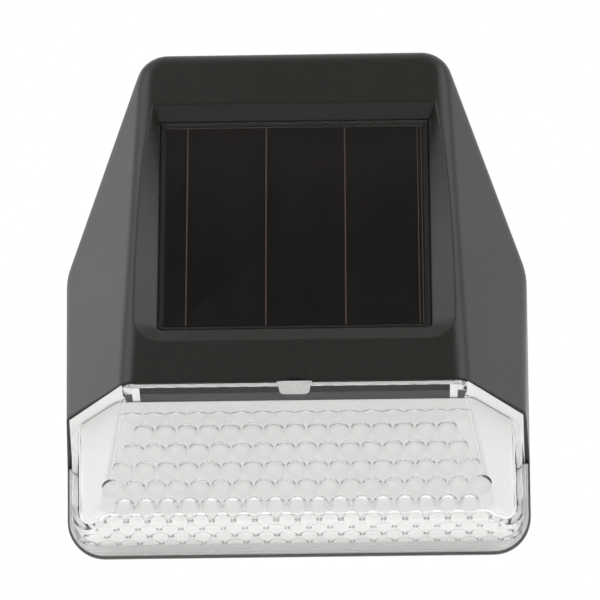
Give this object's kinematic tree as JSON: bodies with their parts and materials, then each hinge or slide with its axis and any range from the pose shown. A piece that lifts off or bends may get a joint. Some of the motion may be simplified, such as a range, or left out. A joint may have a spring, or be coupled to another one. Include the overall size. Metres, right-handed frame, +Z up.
{
  "type": "fence light",
  "caption": "Solar fence light: tapered housing with a sunk solar panel on its sloped front over a clear lens with bumps, white reflector, back cover with keyholes, battery door and switch.",
  "frame": {"origin": "on the back cover's rear face, in the middle of the lamp's width and height, where it lies on the fence", "axes": "+Z up along the fence, -Y out of the fence towards the viewer, +X to the viewer's right"},
  "size_m": [0.1, 0.0361, 0.11],
  "materials": {
    "housing_plastic": "fine matte moulded",
    "cover_plastic": "fine matte moulded",
    "clear_plastic": "clear, polished",
    "white_plastic": "white, satin",
    "panel_glass": "clear float glass",
    "solar_film": "dark brown thin film",
    "panel_board": "dark board",
    "copper": "copper",
    "silicone": "silicone bead",
    "circuit_board": "green solder mask",
    "phosphor": "yellow phosphor gel",
    "component_black": "moulded epoxy",
    "ferrite": "ferrite",
    "capacitor_can": "aluminium can",
    "battery_sleeve": "shrink sleeve",
    "nickel_steel": "nickel plated",
    "spring_steel": "nickel plated",
    "rubber_seal": "moulded rubber",
    "zinc_steel": "zinc plated",
    "red_insulation": "pvc",
    "black_insulation": "pvc"
  },
  "bodies": {
    "lamp": {"front_housing": "housing_plastic", "back_cover": "cover_plastic", "lens": "clear_plastic", "reflector": "white_plastic", "solar_glass": "panel_glass", "solar_cells": "solar_film", "panel_backing": "panel_board", "panel_terminals": "copper", "panel_glue": "silicone", "led_board": "circuit_board", "led_left": "white_plastic", "led_right": "white_plastic", "led_phosphors": "phosphor", "controller_chip": "component_black", "choke": "ferrite", "capacitor": "capacitor_can", "resistors": "component_black", "switch_body": "component_black", "battery_cell": "battery_sleeve", "contact_plate": "nickel_steel", "spring_plate": "nickel_steel", "contact_spring": "spring_steel", "rim_seal": "rubber_seal", "top_screws": "zinc_steel", "side_screws": "zinc_steel", "lens_screws": "zinc_steel", "board_screws": "zinc_steel", "solar_lead_plus": "red_insulation", "battery_lead_plus": "red_insulation", "solar_lead_minus": "black_insulation", "battery_lead_minus": "black_insulation"},
    "slider": {"switch_slider": "component_black"},
    "door": {"battery_door": "cover_plastic", "door_seal": "rubber_seal"}
  },
  "joints": [
    {"name": "switch_slide", "type": "slide", "parent": "lamp", "child": "slider", "axis": [1, 0, 0], "range_m": [0, 0.0025]},
    {"name": "door_hinge", "type": "hinge", "parent": "lamp", "child": "door", "pos_m": [0, -0.0015, -0.0031], "axis": [1, 0, 0], "range_deg": [0, 80]}
  ]
}
